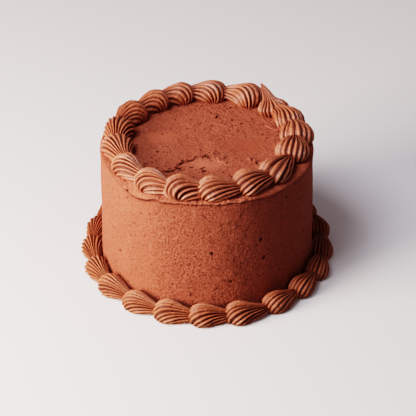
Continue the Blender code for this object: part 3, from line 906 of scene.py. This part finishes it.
def blend(material, share, cream, colour):
    """Mix a colour, as sRGB hex, into a cream by a share."""
    return add_node(material, "ShaderNodeMix", {"data_type": "RGBA"}, i0=share, i6=cream,
                    i7=linear(colour)).outputs[2]


def bump(material, height, strength, distance, **under):
    return add_node(material, "ShaderNodeBump", Height=height, Strength=strength, Distance=distance,
                    **under).outputs[0]


def new_material(name):
    material = bpy.data.materials.new(name)
    material.use_nodes = True
    material.node_tree.nodes.clear()
    return material


def shade_surface(material, **links):
    shader = add_node(material, "ShaderNodeBsdfPrincipled", **links)
    add_node(material, "ShaderNodeOutputMaterial", Surface=shader.outputs[0])
    return material


def spread_buttercream():
    """Chocolate buttercream spread with a palette knife: matte, with a fine grain and burst bubbles, and with
    highlights and shade painted on its grain and into its holes.
    """
    material = new_material("spread_chocolate_buttercream")
    place = add_node(material, "ShaderNodeTexCoord").outputs["Object"]
    grainy, painted_shade, tone = point_values(material, "grain", "painted_shade", "tone")
    clouds = noise_map(material, place, CLOUD_SIZE, 3.0)
    grain = noise_map(material, place, GRAIN_SIZE, 4.0, GRAIN_ROUGHNESS)
    fine = noise_map(material, place, FINE_SIZE, 2.0)
    bubbles = add_node(material, "ShaderNodeTexVoronoi", Vector=place, Scale=1 / BUBBLE_SPACING)
    chance = add_node(material, "ShaderNodeSeparateColor", Color=bubbles.outputs["Color"]).outputs["Red"]
    kept = combine(material, "MULTIPLY", ramp(material, chance, *KEPT_BUBBLES_RAMP), grainy)
    hole = combine(material, "MULTIPLY", ramp(material, bubbles.outputs["Distance"], *BUBBLE_RAMP), kept)

    shade = combine(material, "ADD", combine(material, "MULTIPLY_ADD", clouds, CLOUD_SHARE, CLOUD_START), tone)
    cream = blend(material, shade, linear(COAT_DARK), COAT_LIGHT)
    # Paint highlights where the grain bump stands up and shade where it sinks
    for values, colour in ((GRAIN_HIGHLIGHT_RAMP, GRAIN_HIGHLIGHT), (GRAIN_SHADE_RAMP, GRAIN_SHADE)):
        share = combine(material, "MULTIPLY", ramp(material, grain, *values), grainy)
        cream = blend(material, share, cream, colour)
    # Paint shade into burst bubbles, and where the points carry painted shade
    painted_hole_shade = combine(material, "MAXIMUM", combine(material, "MULTIPLY", hole, BUBBLE_SHADE), painted_shade)
    cream = blend(material, painted_hole_shade, cream, HOLE_SHADE_COLOUR)

    normal = bump(material, fine, *FINE_BUMP)
    normal = bump(material, combine(material, "MULTIPLY", grain, grainy), *GRAIN_BUMP, Normal=normal)
    normal = bump(material, combine(material, "SUBTRACT", 1.0, hole), *BUBBLE_BUMP, Normal=normal)
    return shade_surface(material, Base_Color=cream, Roughness=COAT_ROUGHNESS, IOR=COAT_IOR, Normal=normal)


def piped_buttercream():
    """Chocolate buttercream forced through a star nozzle: smoother and glossier, with shade painted into its
    grooves.
    """
    material = new_material("piped_chocolate_buttercream")
    place = add_node(material, "ShaderNodeTexCoord").outputs["Object"]
    groove, aired = point_values(material, "groove", "aired")
    clouds = noise_map(material, place, PIPED_CLOUD_SIZE, 3.0)
    mottle = noise_map(material, place, MOTTLE_SIZE, 3.0)
    grain = noise_map(material, place, PIPED_GRAIN_SIZE, 2.0)
    cream = blend(material, clouds, linear(PIPED_DARK), PIPED_LIGHT)
    # Paint warm bounce light onto the aired cream at the foot
    cream = blend(material, combine(material, "MULTIPLY", aired, WARM_BOUNCE_SHARE), cream, WARM_BOUNCE_COLOUR)
    # Paint shade into the grooves
    cream = blend(material, ramp(material, groove, *GROOVE_SHADE_RAMP), cream, GROOVE_SHADE_COLOUR)
    rough = ramp(material, mottle, *GLOSS_RAMP)
    rough = combine(material, "MULTIPLY_ADD", aired, AIRED_ROUGHNESS, rough)
    relief = combine(material, "MULTIPLY_ADD", aired, AIRED_RELIEF, 1.0)
    relief = combine(material, "MULTIPLY", mottle, relief)
    normal = bump(material, grain, *PIPED_FINE_BUMP)
    normal = bump(material, relief, *MOTTLE_BUMP, Normal=normal)
    return shade_surface(material, Base_Color=cream, Roughness=rough, IOR=PIPED_IOR, Normal=normal)


def lay_floor():
    material = new_material("plain_pale_floor")
    shade_surface(material, Base_Color=linear(FLOOR_COLOUR), Roughness=FLOOR_ROUGHNESS)
    bm = bmesh.new()
    bmesh.ops.create_grid(bm, x_segments=1, y_segments=1, size=FLOOR_SIZE / 2)
    mesh = new_mesh("floor", bm)
    mesh.materials.append(material)
    floor = bpy.data.objects.new("floor", mesh)
    floor.location.z = -FLOOR_DROP
    floor.visible_diffuse = False
    bpy.context.collection.objects.link(floor)


def aim(thing, target):
    thing.rotation_euler = (target - thing.location).to_track_quat("-Z", "Y").to_euler()


def set_camera():
    elevation = math.radians(CAMERA_ELEVATION)
    data = bpy.data.cameras.new("camera")
    data.sensor_width = SENSOR_WIDTH
    data.lens = CAMERA_LENS
    camera = bpy.data.objects.new("camera", data)
    camera.location = CAMERA_TARGET + CAMERA_DISTANCE * Vector((0, -math.cos(elevation), math.sin(elevation)))
    aim(camera, CAMERA_TARGET)
    bpy.context.collection.objects.link(camera)
    bpy.context.scene.camera = camera


def add_light(light):
    around, up = math.radians(light.azimuth), math.radians(light.elevation)
    data = bpy.data.lights.new(light.name, "AREA")
    data.size = light.size
    data.energy = light.power
    data.color = light.colour
    lamp = bpy.data.objects.new(light.name, data)
    lamp.location = LIGHTS_TARGET + light.distance * Vector(
        (math.cos(around) * math.cos(up), math.sin(around) * math.cos(up), math.sin(up)))
    aim(lamp, LIGHTS_TARGET)
    bpy.context.collection.objects.link(lamp)


def set_lights():
    for light in LIGHTS:
        add_light(light)
    world = bpy.data.worlds.new("studio")
    world.use_nodes = True
    background = world.node_tree.nodes["Background"]
    background.inputs["Color"].default_value = WORLD_COLOUR
    background.inputs["Strength"].default_value = WORLD_STRENGTH
    bpy.context.scene.world = world
    view = bpy.context.scene.view_settings
    view.view_transform = "Filmic"
    view.look = "Very High Contrast"
    view.exposure = 0


coat = spread_buttercream()
piped = piped_buttercream()
spread_coat_side(coat)
spread_coat_top(coat)
pipe_top_border(piped)
pipe_base_border(piped)
lay_floor()
set_camera()
set_lights()
